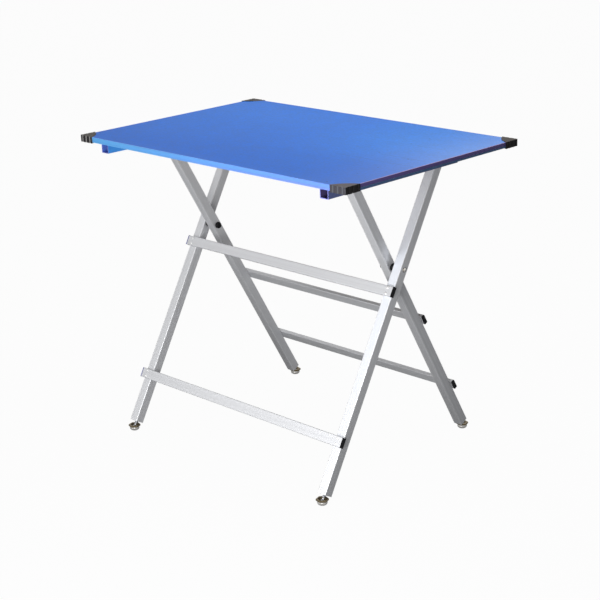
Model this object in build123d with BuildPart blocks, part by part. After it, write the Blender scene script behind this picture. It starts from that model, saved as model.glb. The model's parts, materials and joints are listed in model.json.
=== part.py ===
from build123d import *
import math
import os

# Folding grooming table: a rimmed deck on two crossed leg frames.
# X runs along the deck, Y from front to back and Z up. The origin is on the floor
# under the middle of the deck. Lengths are millimetres and angles are degrees.

# Deck
DECK_LENGTH = 900.0
DECK_WIDTH = 600.0
DECK_HEIGHT = 775.0
DECK_THICKNESS = 13.4
MAT_THICKNESS = 2.4
RIM_WALL = 1.6
RIM_LIP = 2.2
RIM_FLANGE = 14.0
RIM_FLANGE_THICKNESS = 1.4
RIM_EDGE_RADIUS = 1.0
RIM_GROOVE_HEIGHT = 5.2
RIM_GROOVE_WIDTH = 1.2
RIM_GROOVE_DEPTH = 0.5
CAP_REACH = 44.0
CAP_WALL = 2.1
CAP_TOP = 1.2
CAP_BULGE = 6.5
CAP_CORNER = 3.5
CAP_FLUTE_PLACES = (9.5, 23.0, 37.5)
CAP_FLUTE_WIDTH = 5.0
CAP_FLUTE_DEPTH = 1.3
CAP_CLEARANCE = 0.3

# Square tubes under the deck, and the plates on their inner sides
TUBE_SIZE = 25.0
TUBE_WALL = 1.8
TUBE_CORNER = 1.5
INSIDE_CORNER = 1.0
TUBE_X = 375.0
TUBE_FRONT = 287.0
TUBE_REAR = 155.0
PLATE_THICKNESS = 4.0
PLATE_LENGTH = 58.0
PLATE_BAND = 13.0
PLATE_OFFSET = 15.0
PLATE_TOP_GAP = 3.0
PLATE_SCREW_STEP = 21.0

# Legs
LEG_SIZE = 25.0
LEG_WALL = 1.8
LEG_CORNER = 2.0
LEG_TILT = 29.66
FOOT_SPREAD = 287.0
OUTER_LEG_X = 340.0
INNER_LEG_X = 303.5
LEG_START = 25.0
LEG_PAST_PIVOT = 9.5
LEG_CAP = 2.0
LEG_CAP_CHAMFER = 1.0
LEG_CAP_SKIRT = 4.0
LEG_PLUG_DEPTH = 24.0

# Rods at the tops of the legs, and the way the frames fold
PIVOT_HEIGHT = 743.0
ROD_RADIUS = 5.0
ROD_END_GAP = 0.3
ROD_CHAMFER = 0.6
COLLAR_RADIUS = 8.0
COLLAR_LENGTH = 9.0
HOOK_CLEARANCE = 0.3
HOOK_RADIUS = 14.0
HOOK_MOUTH_RADIUS = 7.0
HOOK_MOUTH_DISTANCE = 20.0
FOLD_RATIO = 0.462

# Cross rails
RAIL_WIDTH = 25.0
RAIL_THICKNESS = 10.0
RAIL_WALL = 1.3
RAIL_CORNER = 1.5
RAIL_OVERHANG = 3.0
RAIL_PLUG_FLANGE = 3.0
RAIL_PLUG_DEPTH = 12.0
FRONT_RAILS = (("upper", 520.5), ("lower", 152.0))
REAR_RAILS = (("upper", 387.0), ("lower", 152.0))
RIVET_STEP = 6.8

# Crossing pivots
BOLT_RADIUS = 3.0
BOLT_HEAD_RADIUS = 5.0
BOLT_HEAD_HEIGHT = 3.4
WASHER_RADIUS = 6.6
WASHER_THICKNESS = 1.2
SPACER_RADIUS = 9.0
BUSH_RADIUS = 5.0
CAP_NUT_RADIUS = 8.4
CAP_NUT_HEIGHT = 7.6
CAP_NUT_ROUND = 3.0
BOLT_IN_NUT = 4.5
NUT_BORE_DEPTH = 5.0
SIDE_PLAY = 0.25

# Levelling feet
BALL_RADIUS = 5.5
BALL_HEIGHT = 8.0
NECK_RADIUS = 2.8
STUD_RADIUS = 4.0
STUD_START = 8.6
STUD_LENGTH = 35.8
STUD_CHAMFER = 1.0
BASE_HEIGHT = 15.5
BASE_PLATE = 4.5
BASE_CHAMFER = 0.7
BASE_CUP_RADIUS = 12.2
BASE_CUP_SIDE = 2.25
BASE_SOLE_RADIUS = 6.5
BASE_SOLE_RISE = 7.0
BASE_HEX_RADIUS = 15.5
BASE_HEX_TURN = 45.0
SOCKET_LIP = 2.5
SOCKET_CLEARANCE = 0.3

# Fits and fasteners
RUNNING_FIT = 0.06
SLIP_FIT = 0.05
RIVET_RADIUS = 2.0
RIVET_HEAD_RADIUS = 3.3
RIVET_HEAD_HEIGHT = 1.7
SCREW_RADIUS = 2.4
SCREW_HEAD_RADIUS = 4.4
SCREW_HEAD_HEIGHT = 2.2
HEAD_RIM_SHARE = 0.3
TUBE_SCREW_PLACES = (-255.0, -65.0, 125.0)
TUBE_SCREW_BITE = 8.0
PLATE_SCREW_BITE = 5.0
CAP_SCREW_INSET = 20.0

# Worked out from the dimensions above
DECK_BOTTOM = DECK_HEIGHT - DECK_THICKNESS
BOARD_LENGTH = DECK_LENGTH - 2 * RIM_WALL
BOARD_WIDTH = DECK_WIDTH - 2 * RIM_WALL
BOARD_THICKNESS = DECK_THICKNESS - MAT_THICKNESS
TUBE_SIDE_X = TUBE_X - TUBE_SIZE / 2
SIN_TILT = math.sin(math.radians(LEG_TILT))
COS_TILT = math.cos(math.radians(LEG_TILT))
CROSS_HEIGHT = FOOT_SPREAD * COS_TILT / SIN_TILT
CROSS_ALONG = FOOT_SPREAD / SIN_TILT
PIVOT_ALONG = PIVOT_HEIGHT / COS_TILT
PIVOT_Y = PIVOT_ALONG * SIN_TILT - FOOT_SPREAD
LEG_END = PIVOT_ALONG + LEG_PAST_PIVOT
BALL_ALONG = BALL_HEIGHT / COS_TILT
FOOT_Y = FOOT_SPREAD - BALL_ALONG * SIN_TILT
PLATE_SCREW_Z = DECK_BOTTOM - PLATE_TOP_GAP - PLATE_BAND / 2
PLATE_Y = PIVOT_Y - PLATE_OFFSET
FLUTE_RADIUS = ((CAP_FLUTE_WIDTH / 2) ** 2 + CAP_FLUTE_DEPTH**2) / (2 * CAP_FLUTE_DEPTH)

# A frame's plane stands square to its legs: local Z runs up the legs from the floor.
# The outer frame has its feet in front, and the inner frame has them at the back.
OUTER = Plane(origin=(0, -FOOT_SPREAD, 0), x_dir=(1, 0, 0), z_dir=(0, SIN_TILT, COS_TILT))
INNER = Plane(origin=(0, FOOT_SPREAD, 0), x_dir=(1, 0, 0), z_dir=(0, -SIN_TILT, COS_TILT))
HANDS = ((-1, "left"), (1, "right"))


def save(builder, label):
    """Label a finished piece and write its STEP file."""
    builder.part.label = label
    export_step(builder.part, f"parts/{label}.step")


def across(frame, x, depth, along):
    """Plane square to X at a point of a leg frame, its local X up the legs."""
    centre = frame.from_local_coords(Vector(x, depth, along))
    return Plane(origin=centre, x_dir=frame.z_dir, z_dir=(1, 0, 0))


def facing(frame, x, depth, along, side):
    """Plane on the front (side -1) or rear (side 1) of a leg frame, looking outwards."""
    centre = frame.from_local_coords(Vector(x, depth, along))
    return Plane(origin=centre, x_dir=(1, 0, 0), z_dir=frame.y_dir * side)


def plate_plane(side):
    """Plane on a support tube's inner side, its local axes along Y and Z."""
    return Plane(origin=(side * TUBE_SIDE_X, 0, 0), x_dir=(0, 1, 0), z_dir=(1, 0, 0))


def save_group(label, master, places):
    """Write one node that holds a copy of a master piece at each place."""
    with BuildPart() as group:
        with Locations(*places):
            add(master.part)
    save(group, label)


def square_ring(size, wall, corner):
    """Section of a square tube with rounded corners, in the sketch that is open."""
    inside = size - 2 * wall
    RectangleRounded(size, size, corner)
    RectangleRounded(inside, inside, INSIDE_CORNER, mode=Mode.SUBTRACT)


def headed_pin(head_radius, head_height, shank_radius, length):
    """Domed fastener on the Z axis: the seat of its head at zero and its shank below."""
    rim = (head_radius, head_height * HEAD_RIM_SHARE)
    with BuildPart() as pin:
        with BuildSketch(Plane.XZ):
            with BuildLine():
                TangentArc((0, head_height), rim, tangent=(1, 0))
                Polyline(rim, (head_radius, 0), (shank_radius, 0), (shank_radius, -length))
                Polyline((shank_radius, -length), (0, -length), (0, head_height))
            make_face()
        revolve(axis=Axis.Z)
    return pin


os.makedirs("parts", exist_ok=True)

# Fasteners
rivet = headed_pin(RIVET_HEAD_RADIUS, RIVET_HEAD_HEIGHT, RIVET_RADIUS, RAIL_THICKNESS + 2 * LEG_WALL)
tube_screw = headed_pin(SCREW_HEAD_RADIUS, SCREW_HEAD_HEIGHT, SCREW_RADIUS, TUBE_SIZE + TUBE_SCREW_BITE)
plate_screw_length = PLATE_THICKNESS + PLATE_SCREW_BITE
plate_screw = headed_pin(SCREW_HEAD_RADIUS, SCREW_HEAD_HEIGHT, SCREW_RADIUS, plate_screw_length)
cap_screw = headed_pin(RIVET_HEAD_RADIUS, RIVET_HEAD_HEIGHT, RIVET_RADIUS, CAP_WALL + TUBE_SCREW_BITE)

# Deck: a board in a mitred rim, with a mat laid flush on top of it
tube_screw_points = [(side * TUBE_X, y) for side, _ in HANDS for y in TUBE_SCREW_PLACES]
cap_screw_x = DECK_LENGTH / 2 - CAP_SCREW_INSET
cap_screw_y = DECK_WIDTH / 2 - CAP_SCREW_INSET
cap_screw_points = [(i * cap_screw_x, j * cap_screw_y) for i in (-1, 1) for j in (-1, 1)]

with BuildPart() as deck_board:
    with BuildSketch(Plane.XY.offset(DECK_BOTTOM)):
        Rectangle(BOARD_LENGTH, BOARD_WIDTH)
    extrude(amount=BOARD_THICKNESS)
    # rebate that takes the rim's lower flange
    with BuildSketch(Plane.XY.offset(DECK_BOTTOM)):
        Rectangle(BOARD_LENGTH, BOARD_WIDTH)
        Rectangle(DECK_LENGTH - 2 * RIM_FLANGE, DECK_WIDTH - 2 * RIM_FLANGE, mode=Mode.SUBTRACT)
    extrude(amount=RIM_FLANGE_THICKNESS, mode=Mode.SUBTRACT)
    # pilot holes for the screws that come up through the tubes and the corner caps
    with BuildSketch(Plane.XY.offset(DECK_BOTTOM)):
        with Locations(*tube_screw_points):
            Circle(SCREW_RADIUS + SLIP_FIT)
        with Locations(*cap_screw_points):
            Circle(RIVET_RADIUS + SLIP_FIT)
    extrude(amount=TUBE_SCREW_BITE, mode=Mode.SUBTRACT)
save(deck_board, "deck_board")


def cap_outline(x_side, y_side, clearance):
    """Outline of a corner cap seen from above, its bowed inner edge moved in by a clearance."""
    corner_x = x_side * (DECK_LENGTH / 2 + CAP_WALL)
    corner_y = y_side * (DECK_WIDTH / 2 + CAP_WALL)
    near_x = x_side * (DECK_LENGTH / 2 - CAP_REACH - clearance)
    near_y = y_side * (DECK_WIDTH / 2 - CAP_REACH - clearance)
    bow = CAP_BULGE / math.sqrt(2)
    middle = ((corner_x + near_x) / 2 - x_side * bow, (corner_y + near_y) / 2 - y_side * bow)
    with BuildSketch() as outline:
        with BuildLine():
            Polyline((near_x, corner_y), (corner_x, corner_y), (corner_x, near_y))
            ThreePointArc((corner_x, near_y), middle, (near_x, corner_y))
        make_face()
    return outline.sketch


mat_cuts = [cap_outline(i, j, CAP_CLEARANCE) for i in (-1, 1) for j in (-1, 1)]

with BuildPart() as deck_mat:
    with BuildSketch(Plane.XY.offset(DECK_BOTTOM + BOARD_THICKNESS)):
        Rectangle(DECK_LENGTH - 2 * RIM_LIP, DECK_WIDTH - 2 * RIM_LIP)
        add(mat_cuts, mode=Mode.SUBTRACT)
    extrude(amount=MAT_THICKNESS)
save(deck_mat, "deck_mat")

for label, outward, reach, half_length in (
    ("rim_front", Vector(0, -1, 0), DECK_WIDTH / 2, DECK_LENGTH / 2),
    ("rim_rear", Vector(0, 1, 0), DECK_WIDTH / 2, DECK_LENGTH / 2),
    ("rim_left", Vector(-1, 0, 0), DECK_LENGTH / 2, DECK_WIDTH / 2),
    ("rim_right", Vector(1, 0, 0), DECK_LENGTH / 2, DECK_WIDTH / 2),
):
    edge = outward * reach + Vector(0, 0, DECK_BOTTOM)
    along = outward.cross(Vector(0, 0, 1))
    with BuildPart() as rim:
        # section: face, lip over the mat's edge, and flange under the board
        with BuildSketch(Plane(origin=edge, x_dir=outward, z_dir=along)):
            with BuildLine():
                Polyline(
                    (0, 0),
                    (0, DECK_THICKNESS),
                    (-RIM_LIP, DECK_THICKNESS),
                    (-RIM_LIP, BOARD_THICKNESS),
                    (-RIM_WALL, BOARD_THICKNESS),
                    (-RIM_WALL, RIM_FLANGE_THICKNESS),
                    (-RIM_FLANGE, RIM_FLANGE_THICKNESS),
                    (-RIM_FLANGE, 0),
                    close=True,
                )
            profile = make_face()
            fillet(profile.vertices().group_by(Axis.X)[-1], RIM_EDGE_RADIUS)
            with Locations((0, RIM_GROOVE_HEIGHT)):
                Rectangle(2 * RIM_GROOVE_DEPTH, RIM_GROOVE_WIDTH, mode=Mode.SUBTRACT)
        extrude(amount=half_length, both=True)
        # mitre both ends at the deck's corners
        for end in (-1, 1):
            corner = edge + along * (end * half_length)
            mitre = Plane(origin=corner, z_dir=along * end - outward)
            split(bisect_by=mitre, keep=Keep.BOTTOM)
    save(rim, label)

# Corner caps: a wrap-round shell with fluted sides, and a pad that sits on the board
flute_standoff = FLUTE_RADIUS - CAP_FLUTE_DEPTH
for x_side, hand in HANDS:
    for y_side, end in ((-1, "front"), (1, "rear")):
        corner_x = x_side * (DECK_LENGTH / 2 + CAP_WALL)
        corner_y = y_side * (DECK_WIDTH / 2 + CAP_WALL)
        outline = cap_outline(x_side, y_side, 0)
        with BuildPart() as corner_cap:
            with BuildSketch(Plane.XY.offset(DECK_BOTTOM - CAP_WALL)):
                add(outline)
            extrude(amount=CAP_WALL + DECK_THICKNESS + CAP_TOP)
            uprights = corner_cap.edges().filter_by(Axis.Z)
            fillet(uprights.sort_by_distance((corner_x, corner_y, DECK_BOTTOM))[0], CAP_CORNER)
            # room for the board, and above it for the rim's lip
            with BuildSketch(Plane.XY.offset(DECK_BOTTOM)):
                Rectangle(DECK_LENGTH, DECK_WIDTH)
            extrude(amount=BOARD_THICKNESS, mode=Mode.SUBTRACT)
            with BuildSketch(Plane.XY.offset(DECK_BOTTOM + BOARD_THICKNESS)):
                Rectangle(DECK_LENGTH, DECK_WIDTH)
                Rectangle(DECK_LENGTH - 2 * RIM_LIP, DECK_WIDTH - 2 * RIM_LIP, mode=Mode.SUBTRACT)
            extrude(amount=MAT_THICKNESS, mode=Mode.SUBTRACT)
            # flutes down both outer faces
            with BuildSketch(Plane.XY.offset(DECK_BOTTOM - CAP_WALL)):
                for place in CAP_FLUTE_PLACES:
                    along_x = (corner_x - x_side * place, corner_y + y_side * flute_standoff)
                    along_y = (corner_x + x_side * flute_standoff, corner_y - y_side * place)
                    with Locations(along_x, along_y):
                        Circle(FLUTE_RADIUS)
            extrude(amount=CAP_WALL + DECK_THICKNESS + CAP_TOP, mode=Mode.SUBTRACT)
            with BuildSketch(Plane.XY.offset(DECK_BOTTOM - CAP_WALL)):
                with Locations((x_side * cap_screw_x, y_side * cap_screw_y)):
                    Circle(RIVET_RADIUS + SLIP_FIT)
            extrude(amount=CAP_WALL, mode=Mode.SUBTRACT)
        save(corner_cap, f"corner_cap_{end}_{hand}")

cap_seats = [Plane(origin=(x, y, DECK_BOTTOM - CAP_WALL), z_dir=(0, 0, -1)) for x, y in cap_screw_points]
save_group("corner_cap_screws", cap_screw, cap_seats)

# Support tubes, with a pivot plate in front and a hook plate behind on each inner side.
# The hook's slot follows the path that the rear rod takes as the deck starts to lift.
slot_run = Vector(-FOLD_RATIO * (PIVOT_HEIGHT - CROSS_HEIGHT), (FOLD_RATIO - 2) * PIVOT_Y).normalized()
plate_screw_points = [
    (end * PLATE_Y + step, PLATE_SCREW_Z)
    for end in (-1, 1)
    for step in (-PLATE_SCREW_STEP, PLATE_SCREW_STEP)
]


def plate_outline(end, radius):
    """Outline of a plate under the tube: a band with its screws and a round end at the rod."""
    with Locations((end * PIVOT_Y, PIVOT_HEIGHT)):
        Circle(radius)
    with Locations((end * PLATE_Y, PLATE_SCREW_Z)):
        Rectangle(PLATE_LENGTH, PLATE_BAND)
    make_hull()
    with Locations(*[point for point in plate_screw_points if point[0] * end > 0]):
        Circle(SCREW_RADIUS + SLIP_FIT, mode=Mode.SUBTRACT)


for side, hand in HANDS:
    tube_centre = (side * TUBE_X, -TUBE_FRONT, DECK_BOTTOM - TUBE_SIZE / 2)
    with BuildPart() as support_tube:
        with BuildSketch(Plane(origin=tube_centre, x_dir=(1, 0, 0), z_dir=(0, 1, 0))):
            square_ring(TUBE_SIZE, TUBE_WALL, TUBE_CORNER)
        extrude(amount=TUBE_FRONT + TUBE_REAR)
        with BuildSketch(Plane.XY.offset(DECK_BOTTOM - TUBE_SIZE)):
            with Locations(*[(side * TUBE_X, y) for y in TUBE_SCREW_PLACES]):
                Circle(SCREW_RADIUS + SLIP_FIT)
        extrude(amount=TUBE_SIZE, mode=Mode.SUBTRACT)
        with BuildSketch(plate_plane(side)):
            with Locations(*plate_screw_points):
                Circle(SCREW_RADIUS + SLIP_FIT)
        extrude(amount=side * TUBE_WALL, mode=Mode.SUBTRACT)
    save(support_tube, f"support_tube_{hand}")

    with BuildPart() as pivot_plate:
        with BuildSketch(plate_plane(side)):
            plate_outline(-1, 2 * ROD_RADIUS)
            with Locations((-PIVOT_Y, PIVOT_HEIGHT)):
                Circle(ROD_RADIUS + RUNNING_FIT, mode=Mode.SUBTRACT)
        extrude(amount=-side * PLATE_THICKNESS)
    save(pivot_plate, f"pivot_plate_{hand}")

    with BuildPart() as hook_plate:
        with BuildSketch(plate_plane(side)):
            plate_outline(1, HOOK_RADIUS)
        extrude(amount=-side * PLATE_THICKNESS)
        with BuildSketch(plate_plane(side)):
            with Locations((PIVOT_Y, PIVOT_HEIGHT)):
                Circle(ROD_RADIUS + HOOK_CLEARANCE)
            with Locations(Vector(PIVOT_Y, PIVOT_HEIGHT) + slot_run * HOOK_MOUTH_DISTANCE):
                Circle(HOOK_MOUTH_RADIUS)
            make_hull()
        extrude(amount=-side * PLATE_THICKNESS, mode=Mode.SUBTRACT)
    save(hook_plate, f"hook_plate_{hand}")

tube_bottom = DECK_BOTTOM - TUBE_SIZE
tube_seats = [Plane(origin=(x, y, tube_bottom), z_dir=(0, 0, -1)) for x, y in tube_screw_points]
save_group("support_tube_screws", tube_screw, tube_seats)

plate_seats = [
    Plane(origin=(side * (TUBE_SIDE_X - PLATE_THICKNESS), y, z), z_dir=(-side, 0, 0))
    for side, _ in HANDS
    for y, z in plate_screw_points
]
save_group("plate_screws", plate_screw, plate_seats)


# Leg frames
def make_leg(label, frame, x, rails, side, cross_radius):
    """One leg: a square tube with its pivot, rod and rivet holes."""
    with BuildPart() as leg:
        with BuildSketch(frame.offset(LEG_START)):
            with Locations((x, 0)):
                square_ring(LEG_SIZE, LEG_WALL, LEG_CORNER)
        extrude(amount=LEG_END - LEG_START)
        for along, radius in ((CROSS_ALONG, cross_radius), (PIVOT_ALONG, ROD_RADIUS)):
            with BuildSketch(across(frame, x, 0, along)):
                Circle(radius + SLIP_FIT)
            extrude(amount=LEG_SIZE, both=True, mode=Mode.SUBTRACT)
        for _, along in rails:
            with BuildSketch(facing(frame, x, side * LEG_SIZE / 2, along, side)):
                with Locations((0, RIVET_STEP), (0, -RIVET_STEP)):
                    Circle(RIVET_RADIUS + SLIP_FIT)
            extrude(amount=-2 * LEG_WALL, mode=Mode.SUBTRACT)
    save(leg, label)


def make_rail(label, frame, x, along, side, half_length):
    """One cross rail: a flat tube laid on the legs' faces, with its rivet holes."""
    depth = side * (LEG_SIZE + RAIL_THICKNESS) / 2
    outside = side * (LEG_SIZE / 2 + RAIL_THICKNESS)
    with BuildPart() as rail:
        with BuildSketch(across(frame, 0, depth, along)):
            RectangleRounded(RAIL_WIDTH, RAIL_THICKNESS, RAIL_CORNER)
            Rectangle(RAIL_WIDTH - 2 * RAIL_WALL, RAIL_THICKNESS - 2 * RAIL_WALL, mode=Mode.SUBTRACT)
        extrude(amount=half_length, both=True)
        for hand in (-1, 1):
            with BuildSketch(facing(frame, hand * x, outside, along, side)):
                with Locations((0, RIVET_STEP), (0, -RIVET_STEP)):
                    Circle(RIVET_RADIUS + SLIP_FIT)
            extrude(amount=-RAIL_THICKNESS, mode=Mode.SUBTRACT)
    save(rail, label)


def make_rail_plugs(label, frame, rails, side, half_length):
    """End plugs of a frame's rails: a flange over the end and a block inside it."""
    depth = side * (LEG_SIZE + RAIL_THICKNESS) / 2
    with BuildPart() as plugs:
        for _, along in rails:
            for hand in (-1, 1):
                with BuildSketch(across(frame, hand * half_length, depth, along)):
                    RectangleRounded(RAIL_WIDTH, RAIL_THICKNESS, RAIL_CORNER)
                extrude(amount=hand * RAIL_PLUG_FLANGE)
                with BuildSketch(across(frame, hand * half_length, depth, along)):
                    Rectangle(RAIL_WIDTH - 2 * RAIL_WALL, RAIL_THICKNESS - 2 * RAIL_WALL)
                extrude(amount=-hand * RAIL_PLUG_DEPTH)
    save(plugs, label)


def make_leg_plugs(label, frame, x):
    """Blocks in the lower ends of a frame's legs, bored for the studs of the feet."""
    inside = LEG_SIZE - 2 * LEG_WALL
    with BuildPart() as plugs:
        with BuildSketch(frame.offset(LEG_START)):
            with Locations((-x, 0), (x, 0)):
                RectangleRounded(inside, inside, INSIDE_CORNER)
                Circle(STUD_RADIUS + RUNNING_FIT, mode=Mode.SUBTRACT)
        extrude(amount=LEG_PLUG_DEPTH)
    save(plugs, label)


def make_leg_caps(label, frame, x):
    """Caps on the upper ends of a frame's legs: a rounded flange and a short skirt."""
    inside = LEG_SIZE - 2 * LEG_WALL
    with BuildPart() as caps:
        with BuildSketch(frame.offset(LEG_END)):
            with Locations((-x, 0), (x, 0)):
                RectangleRounded(LEG_SIZE, LEG_SIZE, LEG_CORNER)
        extrude(amount=LEG_CAP)
        tops = caps.faces().sort_by(Axis(frame.origin, frame.z_dir))[-2:]
        chamfer(tops.edges(), LEG_CAP_CHAMFER)
        with BuildSketch(frame.offset(LEG_END)):
            with Locations((-x, 0), (x, 0)):
                RectangleRounded(inside, inside, INSIDE_CORNER)
        extrude(amount=-LEG_CAP_SKIRT)
    save(caps, label)


def make_rod(label, frame, end_x):
    """Cross rod through the upper ends of a frame's legs."""
    with BuildPart() as rod:
        with BuildSketch(across(frame, 0, 0, PIVOT_ALONG)):
            Circle(ROD_RADIUS)
        extrude(amount=end_x, both=True)
        chamfer(rod.edges().filter_by(GeomType.CIRCLE), ROD_CHAMFER)
    save(rod, label)


def make_collars(label, frame, starts):
    """Stop collars on a cross rod, each running outwards from its start."""
    with BuildPart() as collars:
        for start in starts:
            for hand in (-1, 1):
                with BuildSketch(across(frame, hand * start, 0, PIVOT_ALONG)):
                    Circle(COLLAR_RADIUS)
                    Circle(ROD_RADIUS + SLIP_FIT, mode=Mode.SUBTRACT)
                extrude(amount=hand * COLLAR_LENGTH)
    save(collars, label)


rod_end = TUBE_SIDE_X - ROD_END_GAP
inner_collar = -LEG_SIZE / 2 - COLLAR_LENGTH
outer_collar = LEG_SIZE / 2
for name, frame, x, rails, side, rail_name, cross_radius, rod_name, collar_starts in (
    (
        "outer", OUTER, OUTER_LEG_X, FRONT_RAILS, -1,
        "front", BOLT_RADIUS, "hook_rod", (inner_collar,),
    ),
    (
        "inner", INNER, INNER_LEG_X, REAR_RAILS, 1,
        "rear", BUSH_RADIUS, "pivot_rod", (outer_collar, inner_collar),
    ),
):
    rail_half = x + LEG_SIZE / 2 + RAIL_OVERHANG
    for hand_side, hand in HANDS:
        make_leg(f"{name}_leg_{hand}", frame, hand_side * x, rails, side, cross_radius)
    for level, along in rails:
        make_rail(f"{rail_name}_rail_{level}", frame, x, along, side, rail_half)
    make_rail_plugs(f"{rail_name}_rail_plugs", frame, rails, side, rail_half)
    rivet_seats = [
        facing(frame, hand_side * x, side * (LEG_SIZE / 2 + RAIL_THICKNESS), along + step, side)
        for hand_side, _ in HANDS
        for _, along in rails
        for step in (-RIVET_STEP, RIVET_STEP)
    ]
    save_group(f"{rail_name}_rail_rivets", rivet, rivet_seats)
    make_leg_plugs(f"{name}_leg_plugs", frame, x)
    make_leg_caps(f"{name}_leg_caps", frame, x)
    make_rod(rod_name, frame, rod_end)
    make_collars(f"{name}_rod_collars", frame, [x + start for start in collar_starts])

# Crossing pivots: bolt, washer, spacer, bush and covered nut on each side
outer_face = OUTER_LEG_X + LEG_SIZE / 2
inner_face = INNER_LEG_X - LEG_SIZE / 2
gap_start = INNER_LEG_X + LEG_SIZE / 2 + SIDE_PLAY
gap_end = OUTER_LEG_X - LEG_SIZE / 2
head_seat = outer_face + WASHER_THICKNESS
nut_seat = inner_face - SIDE_PLAY
bolt_length = head_seat - nut_seat + BOLT_IN_NUT
bolt = headed_pin(BOLT_HEAD_RADIUS, BOLT_HEAD_HEIGHT, BOLT_RADIUS, bolt_length)

with BuildPart() as washers:
    for side, _ in HANDS:
        with BuildSketch(across(OUTER, side * outer_face, 0, CROSS_ALONG)):
            Circle(WASHER_RADIUS)
            Circle(BOLT_RADIUS + SLIP_FIT, mode=Mode.SUBTRACT)
        extrude(amount=side * WASHER_THICKNESS)
save(washers, "cross_washers")

with BuildPart() as spacers:
    for side, _ in HANDS:
        with BuildSketch(across(OUTER, side * gap_start, 0, CROSS_ALONG)):
            Circle(SPACER_RADIUS)
            Circle(BOLT_RADIUS + SLIP_FIT, mode=Mode.SUBTRACT)
        extrude(amount=side * (gap_end - gap_start))
save(spacers, "cross_spacers")

with BuildPart() as bushes:
    for side, _ in HANDS:
        with BuildSketch(across(INNER, side * INNER_LEG_X, 0, CROSS_ALONG)):
            Circle(BUSH_RADIUS)
            Circle(BOLT_RADIUS + RUNNING_FIT, mode=Mode.SUBTRACT)
        extrude(amount=LEG_SIZE / 2, both=True)
save(bushes, "cross_bushes")

for side, hand in HANDS:
    head_plane = Plane(origin=(side * head_seat, 0, CROSS_HEIGHT), z_dir=(side, 0, 0))
    save_group(f"cross_bolt_{hand}", bolt, [head_plane])

    nut_plane = Plane(origin=(side * nut_seat, 0, CROSS_HEIGHT), x_dir=(0, 1, 0), z_dir=(-side, 0, 0))
    with BuildPart() as cap_nut:
        with BuildSketch(nut_plane):
            Circle(CAP_NUT_RADIUS)
        extrude(amount=CAP_NUT_HEIGHT)
        fillet(cap_nut.edges().group_by(Axis.X)[0 if side > 0 else -1], CAP_NUT_ROUND)
        with BuildSketch(nut_plane):
            Circle(BOLT_RADIUS + SLIP_FIT)
        extrude(amount=NUT_BORE_DEPTH, mode=Mode.SUBTRACT)
    save(cap_nut, f"cross_nut_{hand}")

# Levelling feet: a stud with a ball end, and a base that swivels on the ball
neck_start = math.sqrt(BALL_RADIUS**2 - NECK_RADIUS**2)
socket_radius = BALL_RADIUS + SOCKET_CLEARANCE
lip_radius = math.sqrt(socket_radius**2 - SOCKET_LIP**2)
mouth_height = BASE_HEIGHT - BALL_HEIGHT - SOCKET_LIP
cup_top = BASE_HEIGHT - BASE_PLATE
cup_side = (BASE_CUP_RADIUS, cup_top - BASE_CUP_SIDE)

with BuildPart() as foot_stud:
    with BuildSketch(Plane.XZ):
        with BuildLine():
            ThreePointArc((0, -BALL_RADIUS), (BALL_RADIUS, 0), (NECK_RADIUS, neck_start))
            Polyline(
                (NECK_RADIUS, neck_start),
                (NECK_RADIUS, STUD_START),
                (STUD_RADIUS, STUD_START + STUD_RADIUS - NECK_RADIUS),
                (STUD_RADIUS, STUD_LENGTH - STUD_CHAMFER),
                (STUD_RADIUS - STUD_CHAMFER, STUD_LENGTH),
                (0, STUD_LENGTH),
                (0, -BALL_RADIUS),
            )
        make_face()
    revolve(axis=Axis.Z)

with BuildPart() as foot_base:
    with BuildSketch(Plane.XZ):
        sole_tangent = Vector(1, 0).rotate(Axis.Z, BASE_SOLE_RISE)
        with BuildLine():
            Line((0, 0), (BASE_SOLE_RADIUS, 0))
            TangentArc((BASE_SOLE_RADIUS, 0), cup_side, tangent=sole_tangent)
            Polyline(cup_side, (BASE_CUP_RADIUS, cup_top), (0, cup_top), (0, 0))
        make_face()
    revolve(axis=Axis.Z)
    with BuildSketch(Plane.XY.offset(BASE_HEIGHT - BASE_PLATE)):
        RegularPolygon(BASE_HEX_RADIUS, side_count=6, rotation=BASE_HEX_TURN)
    extrude(amount=BASE_PLATE)
    chamfer(foot_base.faces().sort_by(Axis.Z)[-1].edges(), BASE_CHAMFER)
    with Locations((0, 0, BALL_HEIGHT)):
        Sphere(socket_radius, mode=Mode.SUBTRACT)
    with Locations((0, 0, BASE_HEIGHT - mouth_height / 2)):
        Cone(lip_radius, lip_radius + mouth_height, mouth_height, mode=Mode.SUBTRACT)

for frame, x, y, end in ((OUTER, OUTER_LEG_X, -FOOT_Y, "front"), (INNER, INNER_LEG_X, FOOT_Y, "rear")):
    for side, hand in HANDS:
        ball = Plane(origin=(side * x, y, BALL_HEIGHT), x_dir=(1, 0, 0), z_dir=frame.z_dir)
        save_group(f"foot_stud_{end}_{hand}", foot_stud, [ball])
        save_group(f"foot_base_{end}_{hand}", foot_base, [Plane(origin=(side * x, y, 0))])
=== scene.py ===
"""Folding grooming table: finishes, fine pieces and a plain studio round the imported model."""

import json
import math

import bmesh
import bpy
from mathutils import Matrix, Vector


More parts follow.
